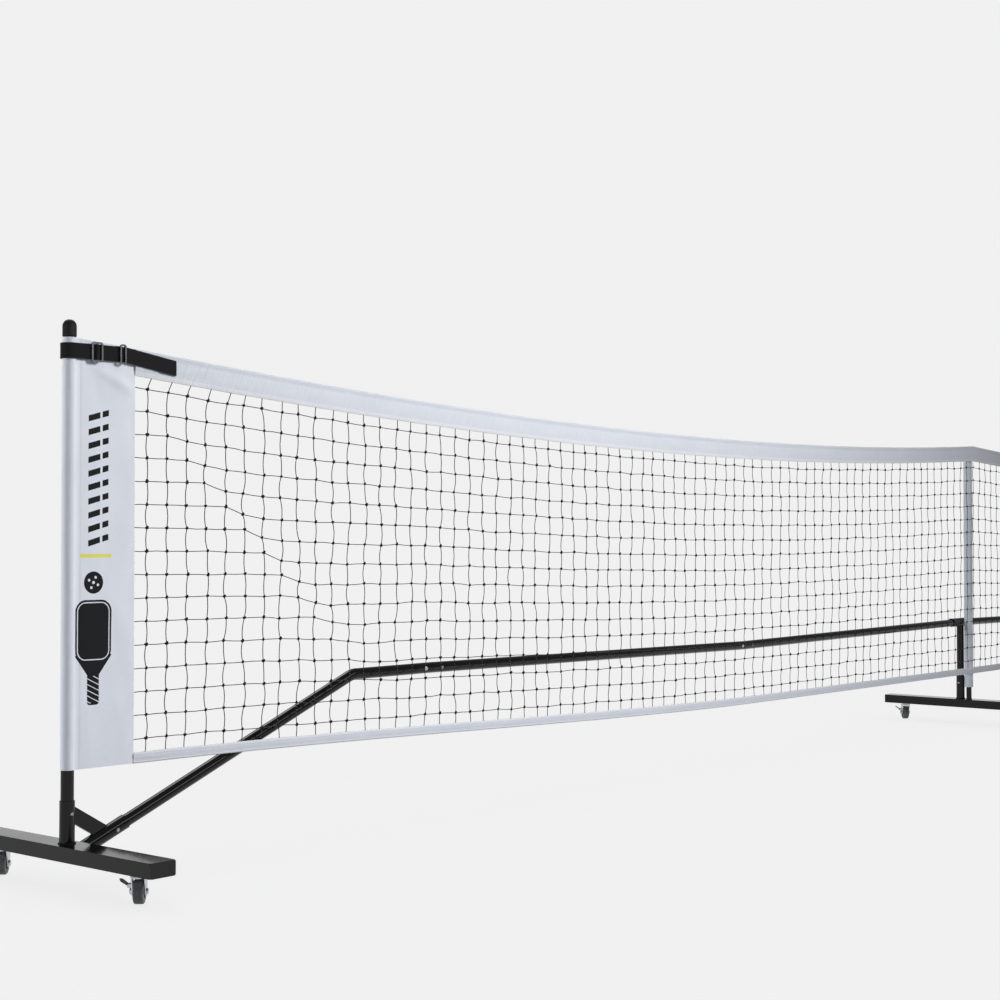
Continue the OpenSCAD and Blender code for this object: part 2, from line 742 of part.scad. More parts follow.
// Pressed fork: crown plate, two legs, and the axle bolt with its head and nut
module caster_fork(i) {
    crown_r = 14;
    leg_w = 15;
    leg_top = crown_top - fork_t;
    color([0.72, 0.73, 0.75]) at_caster(i) {
        difference() {
            union() {
                intersection() {
                    union() {
                        translate([0, 0, leg_top]) cylinder(r = crown_r, h = fork_t);
                        translate([-leg_out, 0, leg_top]) cube([2 * leg_out, caster_trail + leg_w / 2, fork_t]);
                    }
                    translate([-leg_out, -crown_r, 0]) cube([2 * leg_out, 60, caster_h]);
                }
                for (s = [-1, 1]) fork_leg(s, leg_w, leg_top);
            }
            translate([0, 0, leg_top - cut]) cylinder(r = stem_d / 2 + stem_gap, h = fork_t + 2 * cut);
            translate([0, caster_trail, axle_z]) rod(axle_r, -leg_out - cut, leg_out + cut);
        }
        translate([0, caster_trail, axle_z]) {
            rod(axle_r, -leg_out - 4, leg_out + 1);
            rod(axle_r + 2, leg_out + 0.05, leg_out + 2.5);
            translate([-leg_out - 3.4, 0, 0]) rotate([0, 90, 0]) cylinder(r = axle_nut_r, h = 3.3, $fn = 6);
        }
        for (y = [-1, 1]) translate([-leg_out, lever_y + y * lever_ear, lever_z]) lever_ear_plate();
        translate([-leg_out - lever_reach, lever_y, lever_z]) rotate([90, 0, 0])
            translate([0, 0, -lever_ear - 1]) cylinder(r = lever_pin_r, h = 2 * lever_ear + 2);
    }
}

// Ears on the fork's outer face that hold the lever's pin
lever_ear = 7;
lever_reach = 4;
lever_y = caster_trail;

module lever_ear_plate() {
    ear_t = 1.4;
    translate([0, -ear_t / 2, 0]) rotate([-90, 0, 0]) linear_extrude(ear_t) difference() {
        union() {
            translate([-lever_reach, -3]) square([lever_reach + eps, 6]);
            translate([-lever_reach, 0]) circle(3);
        }
        translate([-lever_reach, 0]) circle(lever_pin_r);
    }
}

// One leg from the crown down past the axle, rounded at its end
module fork_leg(s, leg_w, leg_top) {
    x = s < 0 ? -leg_out : leg_in;
    translate([x, caster_trail, axle_z]) rotate([90, 0, 90]) linear_extrude(fork_t) {
        circle(leg_w / 2);
        polygon([[-leg_w / 2, 0], [leg_w / 2, 0], [leg_w / 2, leg_top + fork_t - axle_z],
                 [-leg_w / 2 - 6, leg_top + fork_t - axle_z], [-leg_w / 2 - 6, leg_top - axle_z - 3]]);
    }
}

// Wheel: moulded core with a rubber tread round it
module caster_wheel(i) {
    core_r = wheel_d / 2 - 7;
    round_r = 3.5;
    color([0.35, 0.36, 0.38]) at_caster(i) translate([-wheel_w / 2, caster_trail, axle_z])
        rotate([0, 90, 0]) {
            rotate_extrude($fn = 64) difference() {
                translate([core_r, 0]) square([wheel_d / 2 - core_r, wheel_w]);
                for (end = [0, 1]) translate([wheel_d / 2, end * wheel_w]) mirror([0, end])
                    difference() {
                        translate([-round_r, 0]) square(round_r);
                        translate([-round_r, round_r]) circle(round_r);
                    }
            }
            rotate_extrude($fn = 64) difference() {
                translate([axle_r + 0.05, 0]) square([core_r - axle_r - 0.05, wheel_w]);
                for (end = [0, 1]) translate([axle_r + 4, end ? wheel_w - 2 : 0])
                    square([core_r - axle_r - 6, 2]);
            }
        }
}

// Foot lever on its pin, flaring out and down from the fork
module brake_lever(i) {
    inner = lever_ear - 0.7 - lever_gap;
    arm = 15;
    plate_t = 2;
    color([0.2, 0.2, 0.22]) at_caster(i)
        translate([-leg_out - lever_reach, lever_y, lever_z]) difference() {
            union() {
                rotate([90, 0, 0]) translate([0, 0, -inner]) cylinder(r = lever_barrel_r, h = 2 * inner);
                rotate([0, 35, 0]) rotate([0, 180, 0]) translate([0, -inner, 1.2 - plate_t])
                    linear_extrude(plate_t) polygon([[0, 0], [4, 0], [arm, -2], [arm + 4, inner],
                                                     [arm, 2 * inner + 2], [4, 2 * inner],
                                                     [0, 2 * inner]]);
            }
            rotate([90, 0, 0]) translate([0, 0, -inner - cut])
                cylinder(r = lever_pin_r + 0.05, h = 2 * (inner + cut));
        }
}

// ---------- nodes ----------

base_tube(-half_w);  // left_base_tube
base_tube(half_w);  // right_base_tube
base_tube(0);  // centre_base_tube
base_end_caps();
post_sockets();
bar_sockets();
braces();
half(-1) upright();  // left_upright
half(1) upright();  // right_upright
post_caps();
centre_stand();
centre_tee();
centre_post();
half(-1) elbow_bar();  // left_elbow_bar
half(1) elbow_bar();  // right_elbow_bar
half(-1) outer_bar();  // left_outer_bar
half(1) outer_bar();  // right_outer_bar
half(-1) inner_bar();  // left_inner_bar
half(1) inner_bar();  // right_inner_bar
bar_spigots();
spigot_rivets();
headband();
bottom_band();
netting();
net_cords();
centre_sleeve();
half(-1) side_panel();  // left_side_panel
half(1) side_panel();  // right_side_panel
half(-1) tension_strap();  // left_tension_strap
half(1) tension_strap();  // right_tension_strap
strap_buckles();
caster_stems();
for (i = [1:6]) {
    caster_fork(i);
    caster_wheel(i);
    brake_lever(i);
}
button_springs();
for (b = BUTTONS)
    snap_button(b[0]);
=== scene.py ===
import json
import math
import random

import bpy
import numpy as np
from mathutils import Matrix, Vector, noise


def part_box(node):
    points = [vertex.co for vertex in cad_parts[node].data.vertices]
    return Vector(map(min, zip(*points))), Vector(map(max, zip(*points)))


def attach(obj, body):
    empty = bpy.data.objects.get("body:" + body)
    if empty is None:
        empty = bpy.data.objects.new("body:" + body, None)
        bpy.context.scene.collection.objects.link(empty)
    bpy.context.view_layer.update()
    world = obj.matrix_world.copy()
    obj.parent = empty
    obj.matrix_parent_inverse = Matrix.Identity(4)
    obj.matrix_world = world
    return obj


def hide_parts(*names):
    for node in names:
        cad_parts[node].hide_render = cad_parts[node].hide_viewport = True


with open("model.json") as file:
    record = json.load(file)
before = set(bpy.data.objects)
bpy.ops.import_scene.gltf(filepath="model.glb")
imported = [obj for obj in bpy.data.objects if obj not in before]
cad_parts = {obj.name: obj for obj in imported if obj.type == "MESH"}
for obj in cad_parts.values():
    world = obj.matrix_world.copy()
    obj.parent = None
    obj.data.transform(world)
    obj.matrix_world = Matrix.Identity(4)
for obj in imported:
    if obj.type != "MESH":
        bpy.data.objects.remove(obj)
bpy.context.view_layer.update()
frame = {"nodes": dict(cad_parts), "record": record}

# ---------- camera ----------

CAMERA_PLACE = (-5.0991, -2.3993, 0.5831)
CAMERA_TILT = (math.radians(90 + 1.198), 0, math.radians(-49.986))
camera = bpy.data.objects.new("camera", bpy.data.cameras.new("camera"))
bpy.context.scene.collection.objects.link(camera)
camera.location = CAMERA_PLACE
camera.rotation_euler = CAMERA_TILT
camera.data.lens = 62.56
camera.data.sensor_width = 36
camera.data.clip_start = 0.05
camera.data.clip_end = 400
bpy.context.scene.camera = camera

# ---------- places, from the frame ----------


def middle_of(node):
    low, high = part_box(node)
    return (low + high) / 2


HALF = middle_of("right_upright").x
POST_R = (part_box("right_upright")[1].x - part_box("right_upright")[0].x) / 2
BASE_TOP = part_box("left_base_tube")[1].z
SOCKET_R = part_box("post_sockets")[1].x - HALF
CENTRE_POST = middle_of("centre_post")
NET_TOP_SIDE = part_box("left_side_panel")[1].z
NET_TOP_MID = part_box("centre_sleeve")[1].z
SLEEVE_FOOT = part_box("centre_sleeve")[0].z
PANEL_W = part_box("left_side_panel")[1].x + HALF
NET_LOW_SIDE, NET_LOW_MID = 0.197, 0.157  # foot of the net at a post and further in
LOW_SHARE = 0.63  # share of a half after which the foot of the net runs level
TOP_SAG = 0.060
HEADBAND_H, LOWBAND_H = 0.046, 0.019
HEAD_SEAM, LOW_SEAM = 0.0095, 0.0062  # from a band's edge to the seam below its cord
NET_Y_SIDE, NET_Y_MID = -0.0161, -0.0455
TOP_CORD_R, LOW_CORD_R = 0.0025, 0.0015
FABRIC_T = 0.0008


def smooth(value, low=0.0, high=1.0):
    t = min(1.0, max(0.0, (value - low) / (high - low)))
    return t * t * (3 - 2 * t)


def mix(a, b, share):
    return a + (b - a) * share


def net_top(u):
    share = u / HALF
    return mix(NET_TOP_SIDE, NET_TOP_MID, share) - 4 * TOP_SAG * share * (1 - share)


def net_low(u):
    return mix(NET_LOW_SIDE, NET_LOW_MID, smooth(u, 0, LOW_SHARE * HALF))


def net_y(u):
    return NET_Y_SIDE + (NET_Y_MID - NET_Y_SIDE) * (u - PANEL_W) / (HALF - PANEL_W)


def ripple(*place):
    """Smooth noise from about -1 to 1 at a place given in wave lengths."""
    return noise.noise(Vector((*place, 0, 0)[:3]))


# ---------- finishes ----------


class Link:
    """A shader socket that adds Math nodes when it stands in an expression."""

    def __init__(self, finish, socket):
        self.finish, self.socket = finish, socket

    def maths(self, operation, *values):
        return self.finish.node("ShaderNodeMath", {"operation": operation}, *values)

    def __add__(self, other):
        return self.maths("ADD", self, other)

    def __radd__(self, other):
        return self.maths("ADD", other, self)

    def __sub__(self, other):
        return self.maths("SUBTRACT", self, other)

    def __rsub__(self, other):
        return self.maths("SUBTRACT", other, self)

    def __mul__(self, other):
        return self.maths("MULTIPLY", self, other)

    def __rmul__(self, other):
        return self.maths("MULTIPLY", other, self)

    def __truediv__(self, other):
        return self.maths("DIVIDE", self, other)

    def __rtruediv__(self, other):
        return self.maths("DIVIDE", other, self)

    def __lt__(self, other):
        return self.maths("LESS_THAN", self, other)

    def __gt__(self, other):
        return self.maths("GREATER_THAN", self, other)

    def one(self, operation, *values):
        return self.maths(operation, self, *values)


class Finish:
    """A material, and the one way its nodes are added."""

    def __init__(self, name, **constants):
        self.material = bpy.data.materials.new(name)
        self.material.use_nodes = True
        self.tree = self.material.node_tree
        self.shader = self.tree.nodes["Principled BSDF"]
        for socket, value in constants.items():
            self.shader.inputs[socket.replace("_", " ")].default_value = value

    def node(self, kind, settings=None, *values, out=0, **named):
        """Adds a node: its settings first, then the values or links of its sockets."""
        made = self.tree.nodes.new(kind)
        for key, value in (settings or {}).items():
            if key == "stops":
                ramp = made.color_ramp
                while len(ramp.elements) < len(value):
                    ramp.elements.new(1.0)
                for element, (place, colour) in zip(ramp.elements, value):
                    element.position, element.color = place, (*colour, 1)
            else:
                setattr(made, key, value)
        pairs = list(zip(range(len(values)), values))
        pairs += [(key.replace("_", " "), value) for key, value in named.items()]
        for key, value in pairs:
            if isinstance(value, Link):
                self.tree.links.new(value.socket, made.inputs[key])
            else:
                made.inputs[key].default_value = value
        return Link(self, made.outputs[out])

    def place(self, kind="Object"):
        return self.node("ShaderNodeTexCoord", out=kind)

    def axis(self, vector, name):
        return self.node("ShaderNodeSeparateXYZ", None, vector, out=name)

    def stretch(self, vector, scale):
        return self.node("ShaderNodeMapping", None, Vector=vector, Scale=scale)

    def noise(self, vector, scale, detail=2.0, rough=0.5):
        return self.node("ShaderNodeTexNoise", None, Vector=vector, Scale=scale, Detail=detail,
                         Roughness=rough)

    def ramp(self, value, stops):
        return self.node("ShaderNodeValToRGB", {"stops": stops}, value)

    def blend(self, share, first, second):
        """A colour mixed from two by a share."""
        made = self.tree.nodes.new("ShaderNodeMix")
        made.data_type = "RGBA"
        for socket, value in ((0, share), (6, first), (7, second)):
            if isinstance(value, Link):
                self.tree.links.new(value.socket, made.inputs[socket])
            else:
                made.inputs[socket].default_value = value if socket == 0 else (*value, 1)
        return Link(self, made.outputs[2])

    def bump(self, height, distance, strength=1.0):
        return self.node("ShaderNodeBump", None, Strength=strength, Distance=distance, Height=height)

    def feed(self, **links):
        for socket, link in links.items():
            self.tree.links.new(link.socket, self.shader.inputs[socket.replace("_", " ")])
        return self.material


def within(value, low, high):
    return (value > low) * (value < high)


def powder_coat():
    """Gloss black powder coat: orange peel, faint scuffs, and cloudy patches of roughness."""
    finish = Finish("black_powder_coat", Coat_Weight=0.30, Coat_Roughness=0.07, Specular_IOR_Level=0.12)
    place = finish.place()
    peel = finish.noise(place, 700, 2)
    cloud = finish.noise(place, 9, 3)
    scuff = finish.noise(finish.stretch(place, (40, 40, 9)), 6, 6, 0.7)
    worn = finish.ramp(scuff, [(0.66, (0, 0, 0)), (0.72, (1, 1, 1))])
    colour = finish.blend(worn * 0.35, (0.0035, 0.0035, 0.004), (0.025, 0.025, 0.028))
    rough = cloud * 0.10 + worn * 0.16 + 0.11
    return finish.feed(Base_Color=colour, Roughness=rough, Normal=finish.bump(peel, 0.00006, 0.5))


def moulded(name, colour, shine, grain, depth):
    """Moulded plastic or rubber with an even grain."""
    finish = Finish(name, Specular_IOR_Level=0.25)
    place = finish.place()
    fine = finish.noise(place, grain, 3, 0.6)
    cloud = finish.noise(place, 30, 3)
    pale = tuple(min(1, 1.5 * c + 0.01) for c in colour)
    return finish.feed(Base_Color=finish.blend(cloud * 0.5, colour, pale),
                       Roughness=cloud * 0.18 + shine, Normal=finish.bump(fine, depth, 0.6))


def plated(name, colour, shine, streaks):
    """Zinc or nickel plate with fine streaks and a cloudy lustre."""
    finish = Finish(name, Metallic=1.0)
    place = finish.place()
    cloud = finish.noise(place, 90, 4, 0.6)
    streak = finish.noise(finish.stretch(place, streaks), 40, 3, 0.6)
    dull = tuple(0.72 * c for c in colour)
    return finish.feed(Base_Color=finish.blend(cloud * 0.6, colour, dull),
                       Roughness=cloud * 0.2 + shine, Normal=finish.bump(streak, 0.00005, 0.5))


def tread():
    """Grey moulded rubber, dusty in patches."""
    finish = Finish("grey_tread", Specular_IOR_Level=0.4)
    place = finish.place()
    fine = finish.noise(place, 1400, 3, 0.7)
    dust = finish.noise(place, 55, 4, 0.6)
    worn = finish.ramp(dust, [(0.45, (0, 0, 0)), (0.7, (1, 1, 1))])
    colour = finish.blend(worn * 0.6, (0.085, 0.088, 0.095), (0.19, 0.19, 0.195))
    return finish.feed(Base_Color=colour, Roughness=dust * 0.2 + 0.42,
                       Normal=finish.bump(fine, 0.0001, 0.5))


THREAD_PITCH = 0.00055
WEAVE = 2 * math.pi / THREAD_PITCH
STITCH = 0.0034
THREAD_HALF, SEAM_SHADE_HALF = 0.0005, 0.0014  # half widths of a seam's thread and of the painted shade beside it
CREASE_SLANT = math.radians(62)


def woven(name, seams, hems=(), printed=False, pale=0.94, creases=0.12, creased_to=0.0):
    """Coated plain-weave polyester. UV runs along and across the cloth in metres.

    Creases fade along a band up to the distance creased_to from a side post. pale scales the cloth's
    colour
    as painted light: the side panels' cloth is painted lighter than the bands and sleeve of the same
    fabric, for the stronger light on the panels. Beside each seam's stitches the cloth is painted
    darker, a painted shade for the seam's groove."""
    finish = Finish(name, Sheen_Weight=0.03, Sheen_Roughness=0.45, Specular_IOR_Level=0.12)
    uv = finish.place("UV")
    along, across = finish.axis(uv, "X"), finish.axis(uv, "Y")
    threads = (along * WEAVE).one("SINE") * (across * WEAVE).one("SINE")
    slub = finish.noise(finish.stretch(uv, (60, 900, 1)), 1, 3) + finish.noise(
        finish.stretch(uv, (900, 60, 1)), 1, 3)
    cloud = finish.noise(uv, 11, 3, 0.55)
    # pale is painted light: it scales the cloth's colour to how brightly the piece is lit
    colour = finish.blend(cloud, tuple(pale * c for c in (0.68, 0.71, 0.785)),
                          tuple(pale * c for c in (0.77, 0.80, 0.86)))
    grey = finish.ramp(slub * 0.5, [(0.35, (0, 0, 0)), (0.65, (1, 1, 1))])
    colour = finish.blend(grey * 0.12, colour, (0.58, 0.59, 0.68))
    sewn = 0.0
    for seam in seams:
        row = within(across, seam - THREAD_HALF, seam + THREAD_HALF)
        dash = (along / STITCH).one("FRACT") < 0.72
        sewn = row * dash + sewn
        # painted shade: each seam is darkened either side of its stitches, standing for the shade in
        # the seam's groove
        seam_shade = within(across, seam - SEAM_SHADE_HALF, seam + SEAM_SHADE_HALF) * (1 - row * dash)
        colour = finish.blend(seam_shade * 0.28, colour, (0.42, 0.42, 0.5))
    for low, high in hems:
        colour = finish.blend(within(across, low, high) * 0.45, colour, (0.88, 0.885, 0.9))
    colour = finish.blend(sewn * 0.8, colour, (0.9, 0.9, 0.92))
    rough = cloud * 0.1 + 0.48
    if printed:
        colour, ink = court_print(finish, colour, along, across)
        rough = rough - ink * 0.12
    weave = finish.bump(threads * 0.5 + slub * 0.6 + sewn * 3, 0.00009, 0.7)
    slanted = finish.node("ShaderNodeMapping", None, Vector=uv, Rotation=(0, 0, CREASE_SLANT))
    crease = finish.noise(finish.stretch(slanted, (16, 90, 1)), 1, 2, 0.4) * creases
    broad = finish.noise(finish.stretch(uv, (7, 12, 1)), 1, 2)
    if creased_to:
        near = ((along - HALF).one("ABSOLUTE") * -1 + HALF) / creased_to
        crease = crease * (1 - near.one("MINIMUM", 1.0) * 0.72)
    folds = finish.node("ShaderNodeBump", None, Strength=0.75, Distance=0.0045,
                        Height=crease + broad * 0.8, Normal=weave)
    return finish.feed(Base_Color=colour, Roughness=rough, Normal=folds)


PRINT_EDGE = 0.125  # the print ends here, before the cloth turns round the post
PRINT_U = 0.042  # middle of the paddle and of the ball
BLADE_Z, THROAT_Z, GRIP_Z, BALL_Z = 0.425, 0.352, 0.336, 0.506
BARS_LOW, BARS_HIGH = 0.031, 0.071  # sides of the column of bars
BARS_Z, BAR_PITCH, BAR_SLOPE, BAR_COUNT = 0.566, 0.0232, 0.28, 9.5
WRAP_PITCH = 0.0095


def court_print(finish, colour, along, across):
    """A paddle, a ball and slanted bars in black, and one thin yellow line.

    Returns the printed colour and the mask of the black."""
    u, z = PANEL_W - across, along
    front = across < PRINT_EDGE

    def rounded(centre_u, centre_z, half_u, half_z, corner):
        du = ((u - centre_u).one("ABSOLUTE") - (half_u - corner)).one("MAXIMUM", 0.0)
        dz = ((z - centre_z).one("ABSOLUTE") - (half_z - corner)).one("MAXIMUM", 0.0)
        return (du * du + dz * dz).one("SQRT") < corner

    def disc(centre_u, centre_z, radius):
        du, dz = u - centre_u, z - centre_z
        return (du * du + dz * dz).one("SQRT") < radius

    mid = PRINT_U
    blade = rounded(mid, BLADE_Z, 0.035, 0.052, 0.020)
    rim = rounded(mid, BLADE_Z, 0.0315, 0.0485, 0.0165) * (
        1 - rounded(mid, BLADE_Z, 0.0297, 0.0467, 0.0147))
    throat = (((u - mid).one("ABSOLUTE") - (z - THROAT_Z) * 0.75 < 0.0115)
              * within(z, THROAT_Z, 0.385))
    grip = rounded(mid, GRIP_Z, 0.0115, 0.034, 0.005)
    wraps = (((z + u * 0.5) / WRAP_PITCH).one("FRACT") < 0.16) * within(z, 0.305, 0.350)
    ball = disc(mid, BALL_Z, 0.0185)
    holes = (disc(mid, BALL_Z, 0.0027)
             + disc(mid - 0.0085, 0.510, 0.0024) + disc(mid + 0.0085, 0.502, 0.0024)
             + disc(mid - 0.004, 0.4975, 0.0024) + disc(mid + 0.004, 0.5145, 0.0024))
    rise = (z - (u - BARS_LOW) * BAR_SLOPE - BARS_Z) / BAR_PITCH
    bars = (within(u, BARS_LOW, BARS_HIGH) * within(rise, 0, BAR_COUNT)
            * (rise.one("FRACT") < 0.44))
    notch = within(u, 0.0545, 0.059)
    ink = ((blade + throat + grip).one("MINIMUM", 1.0) * (1 - rim) * (1 - wraps)
           + ball * (1 - holes.one("MINIMUM", 1.0)) + bars * (1 - notch)).one("MINIMUM", 1.0) * front
    line = within(z, 0.5475, 0.5535) * within(u, 0.015, 0.077) * front
    colour = finish.blend(ink * 0.99, colour, (0.0035, 0.004, 0.005))
    return finish.blend(line * 0.95, colour, (0.80, 0.78, 0.12)), ink


TWIST, RIB_PITCH, WARP_PITCH = 0.0062, 0.0021, 0.0013  # of the twine, and of the webbing


def twine():
    """Black twisted polyester twine: its lay bumps the strands, and lighter slanting bands on the
    crests of the lay are a painted highlight.
    """
    finish = Finish("black_twine", Sheen_Weight=0.05, Specular_IOR_Level=0.15)
    place = finish.place()
    x, z = finish.axis(place, "X"), finish.axis(place, "Z")
    lay_and_highlight = ((x + z) * (2 * math.pi / TWIST)).one("SINE") * 0.5 + 0.5
    fluff = finish.noise(place, 600, 3)
    # painted highlight: the crests of the lay are painted lighter, broken up by the fluff noise
    colour = finish.blend(lay_and_highlight * lay_and_highlight * fluff * 1.5, (0.006, 0.006, 0.007), (0.13, 0.13, 0.14))
    return finish.feed(Base_Color=colour, Roughness=fluff * 0.2 + 0.6,
                       Normal=finish.bump(lay_and_highlight + fluff, 0.0002, 0.7))


STRAP_W = 0.026
SELVEDGE = 0.0012


def webbing():
    """Ribbed black nylon webbing. UV runs along and across the strap in metres."""
    finish = Finish("black_webbing", Sheen_Weight=0.06, Sheen_Roughness=0.4, Specular_IOR_Level=0.14)
    uv = finish.place("UV")
    along, across = finish.axis(uv, "X"), finish.axis(uv, "Y")
    ribs = (along * (2 * math.pi / RIB_PITCH)).one("SINE") * 0.5 + 0.5
    cords = (across * (2 * math.pi / WARP_PITCH)).one("SINE") * 0.5 + 0.5
    fluff = finish.noise(uv, 900, 3)
    edge = 1 - within(across, SELVEDGE, STRAP_W - SELVEDGE)
    tone = (ribs * 0.6 + fluff * 0.5) * 0.6
    colour = finish.blend(tone, (0.0055, 0.0055, 0.006), (0.026, 0.026, 0.028))
    colour = finish.blend(edge * 0.4, colour, (0.03, 0.03, 0.033))
    return finish.feed(Base_Color=colour, Roughness=fluff * 0.2 + 0.55,
                       Normal=finish.bump(ribs + cords * 0.5 + fluff * 0.4, 0.00025, 0.8))


black_steel = powder_coat()
black_plastic = moulded("black_plastic", (0.011, 0.011, 0.012), 0.34, 900, 0.00012)
grey_nylon = moulded("grey_nylon", (0.055, 0.057, 0.062), 0.38, 700, 0.00015)
zinc_plate = plated("zinc_plate", (0.60, 0.62, 0.65), 0.24, (60, 60, 8))
nickel_plate = plated("nickel_plate", (0.34, 0.34, 0.36), 0.14, (30, 30, 30))
spring_steel = plated("spring_steel", (0.45, 0.45, 0.47), 0.28, (60, 8, 60))
grey_tread = tread()
black_twine = twine()
black_knot = moulded("black_knot", (0.006, 0.006, 0.007), 0.6, 800, 0.0003)
black_webbing = webbing()
braided_white = moulded("braided_white", (0.62, 0.62, 0.64), 0.6, 500, 0.0004)

SLOT_FINISH = {
    "black_steel": black_steel, "black_plastic": black_plastic, "zinc_steel": zinc_plate,
    "spring_steel": spring_steel, "nickel_wire": nickel_plate, "grey_rubber": grey_tread,
    "grey_nylon": grey_nylon, "braided_cord": braided_white,
}
for part in frame["record"]["subparts"]:
    material = SLOT_FINISH.get(part["material_slot"])
    if material and part["node"] in frame["nodes"]:
        node = frame["nodes"][part["node"]]
        node.data.materials.clear()
        node.data.materials.append(material)

# ---------- making pieces ----------


def only(piece):
    """Selects one piece alone."""
    if bpy.context.object and bpy.context.object.mode == "EDIT":
        bpy.ops.object.mode_set(mode="OBJECT")
    bpy.ops.object.select_all(action="DESELECT")
    bpy.context.view_layer.objects.active = piece
    piece.select_set(True)


def hand_over(piece, name, slot, finish, *nodes):
    """Names a finished piece, sets its finish, unless it has one, and what it stands for."""
    piece.name = piece.data.name = name
    if finish:
        piece.data.materials.clear()
        piece.data.materials.append(finish)
    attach(piece, "frame")
    if nodes:
        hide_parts(*nodes)
    return piece


def cloth(columns, rows, point, uv, thickness, turned_over=False, angle=50):
    """A sheet of cloth: a grid shaped point by point, given its thickness.

    point(i, j) is a place and uv(i, j) its place on the flat cloth, in metres."""
    bpy.ops.object.select_all(action="DESELECT")
    bpy.ops.mesh.primitive_grid_add(x_subdivisions=columns, y_subdivisions=rows, size=2)
    piece = bpy.context.object
    mesh = piece.data
    flat = np.zeros(len(mesh.vertices) * 3)
    mesh.vertices.foreach_get("co", flat)
    flat = flat.reshape(-1, 3)
    across = np.rint((flat[:, 0] + 1) / 2 * columns).astype(int)
    down = np.rint((flat[:, 1] + 1) / 2 * rows).astype(int)
    places = np.array([point(i, j) for i, j in zip(across, down)])
    mesh.vertices.foreach_set("co", places.ravel())
    corners = np.zeros(len(mesh.loops), int)
    mesh.loops.foreach_get("vertex_index", corners)
    laid = np.array([uv(i, j) for i, j in zip(across, down)])
    mesh.uv_layers[0].data.foreach_set("uv", laid[corners].ravel())
    mesh.update()
    only(piece)
    if turned_over:
        bpy.ops.object.mode_set(mode="EDIT")
        bpy.ops.mesh.select_all(action="SELECT")
        bpy.ops.mesh.flip_normals()
        bpy.ops.object.mode_set(mode="OBJECT")
    wall = piece.modifiers.new("wall", "SOLIDIFY")
    wall.thickness = thickness
    wall.offset = 0
    bpy.ops.object.modifier_apply(modifier="wall")
    bpy.ops.object.shade_smooth_by_angle(angle=math.radians(angle))
    return piece


def length_along(points):
    """Distance from the first point to each, along a line through all of them."""
    run = [0.0]
    for a, b in zip(points, points[1:]):
        run.append(run[-1] + math.dist(a, b))
    return run


# ---------- headband and bottom band ----------


FOLD_ANGLES = (0, 30, 60, 90, 118)  # steps of the cloth round its cord
NECK = 0.0013  # half gap between a band's two layers at its seam
SEAM_ROLL, HEM_ROLL = 0.0016, 0.0022
BAND_STEP = 0.005


def band_profile(height, cord_r, seam):
    """Half outline of a band folded over its cord: (distance out, distance from its edge)."""
    ring = cord_r + 0.0006
    centre = ring + 0.0004
    fold = [(ring * math.sin(math.radians(a)), centre - ring * math.cos(math.radians(a)))
            for a in FOLD_ANGLES]
    steps = [(NECK, seam), (NECK + 0.0003, seam + SEAM_ROLL)]
    count = max(2, round((height - seam - 0.004) / BAND_STEP))
    for k in range(1, count + 1):
        drop = seam + SEAM_ROLL + (height - HEM_ROLL - seam - SEAM_ROLL) * k / count
        steps.append((NECK + 0.0004, drop))
    steps.append((NECK - 0.0001, height))
    return fold + steps


PUCKER_REACH = 0.16  # how far from a side panel a band is strongly puckered
BROAD_FOLD, FINE_FOLD, SEAM_FOLD, EDGE_FOLD = 21, 75, 160, 9  # waves a metre along a band


def band(name, edge, sign, height, cord_r, seam, swell, station, finish):
    """A band of cloth folded over a cord along one edge of the net, puckered along its seam.

    Returns the piece and its flat size: the band opened out, and its length."""
    half = band_profile(height, cord_r, seam)
    outline = [(-out, drop) for out, drop in reversed(half[1:])] + half
    run = length_along(outline)
    reach = HALF - PANEL_W + 0.0015
    columns = int(round(2 * reach / station))

    def point(i, j):
        x = -reach + 2 * reach * i / columns
        u = HALF - abs(x)
        out, drop = outline[j]
        side = 1 if out >= 0 else -1
        depth = drop / height
        loose = math.sin(math.pi * smooth(drop, seam * 0.7, height * 1.02)) if drop > seam else 0.0
        near_end = 0.55 + 2.6 * math.exp(-((u - PANEL_W) / PUCKER_REACH) ** 2)
        fold = ripple(x * BROAD_FOLD + depth * 3.2 * side, depth * 1.5, 3.7 * side)
        fine = ripple(x * FINE_FOLD - depth * 2.0, depth * 2.1, 9.1 + side)
        bulge = swell * loose * (0.5 + near_end * (0.9 * fold + 0.45 * fine))
        below_seam = smooth(drop, seam - 0.003, seam + 0.002)
        pucker = 0.00035 * ripple(x * SEAM_FOLD, depth * 5, side) * below_seam
        wander = 0.0007 * ripple(x * EDGE_FOLD, 40, 2) * depth
        y = net_y(u) - out - side * max(bulge, -0.0004) - side * abs(pucker)
        z = edge(u) - sign * (drop + wander)
        return (x, y, z)

    def uv(i, j):
        return (-reach + 2 * reach * i / columns + HALF, run[j])

    piece = cloth(columns, len(outline) - 1, point, uv, FABRIC_T, turned_over=sign > 0)
    return hand_over(piece, name, "white_fabric", finish), (run[-1], 2 * reach)


def seams_and_hems(profile, stitched, turned):
    """Seams and hems across a folded band: the seams beside its cord and near its two edges."""
    run = length_along(profile)
    half, seam = run[-1], run[len(FOLD_ANGLES)]
    return {"seams": (half - seam, half + seam, stitched, 2 * half - stitched),
            "hems": ((0, turned), (2 * half - turned, 2 * half))}


head_cloth = woven("headband_cloth", creases=0.75, creased_to=0.6,
                   **seams_and_hems(band_profile(HEADBAND_H, TOP_CORD_R, HEAD_SEAM), 0.004, 0.0075))
low_cloth = woven("bottom_band_cloth",
                  **seams_and_hems(band_profile(LOWBAND_H, LOW_CORD_R, LOW_SEAM), 0.0035, 0.003))

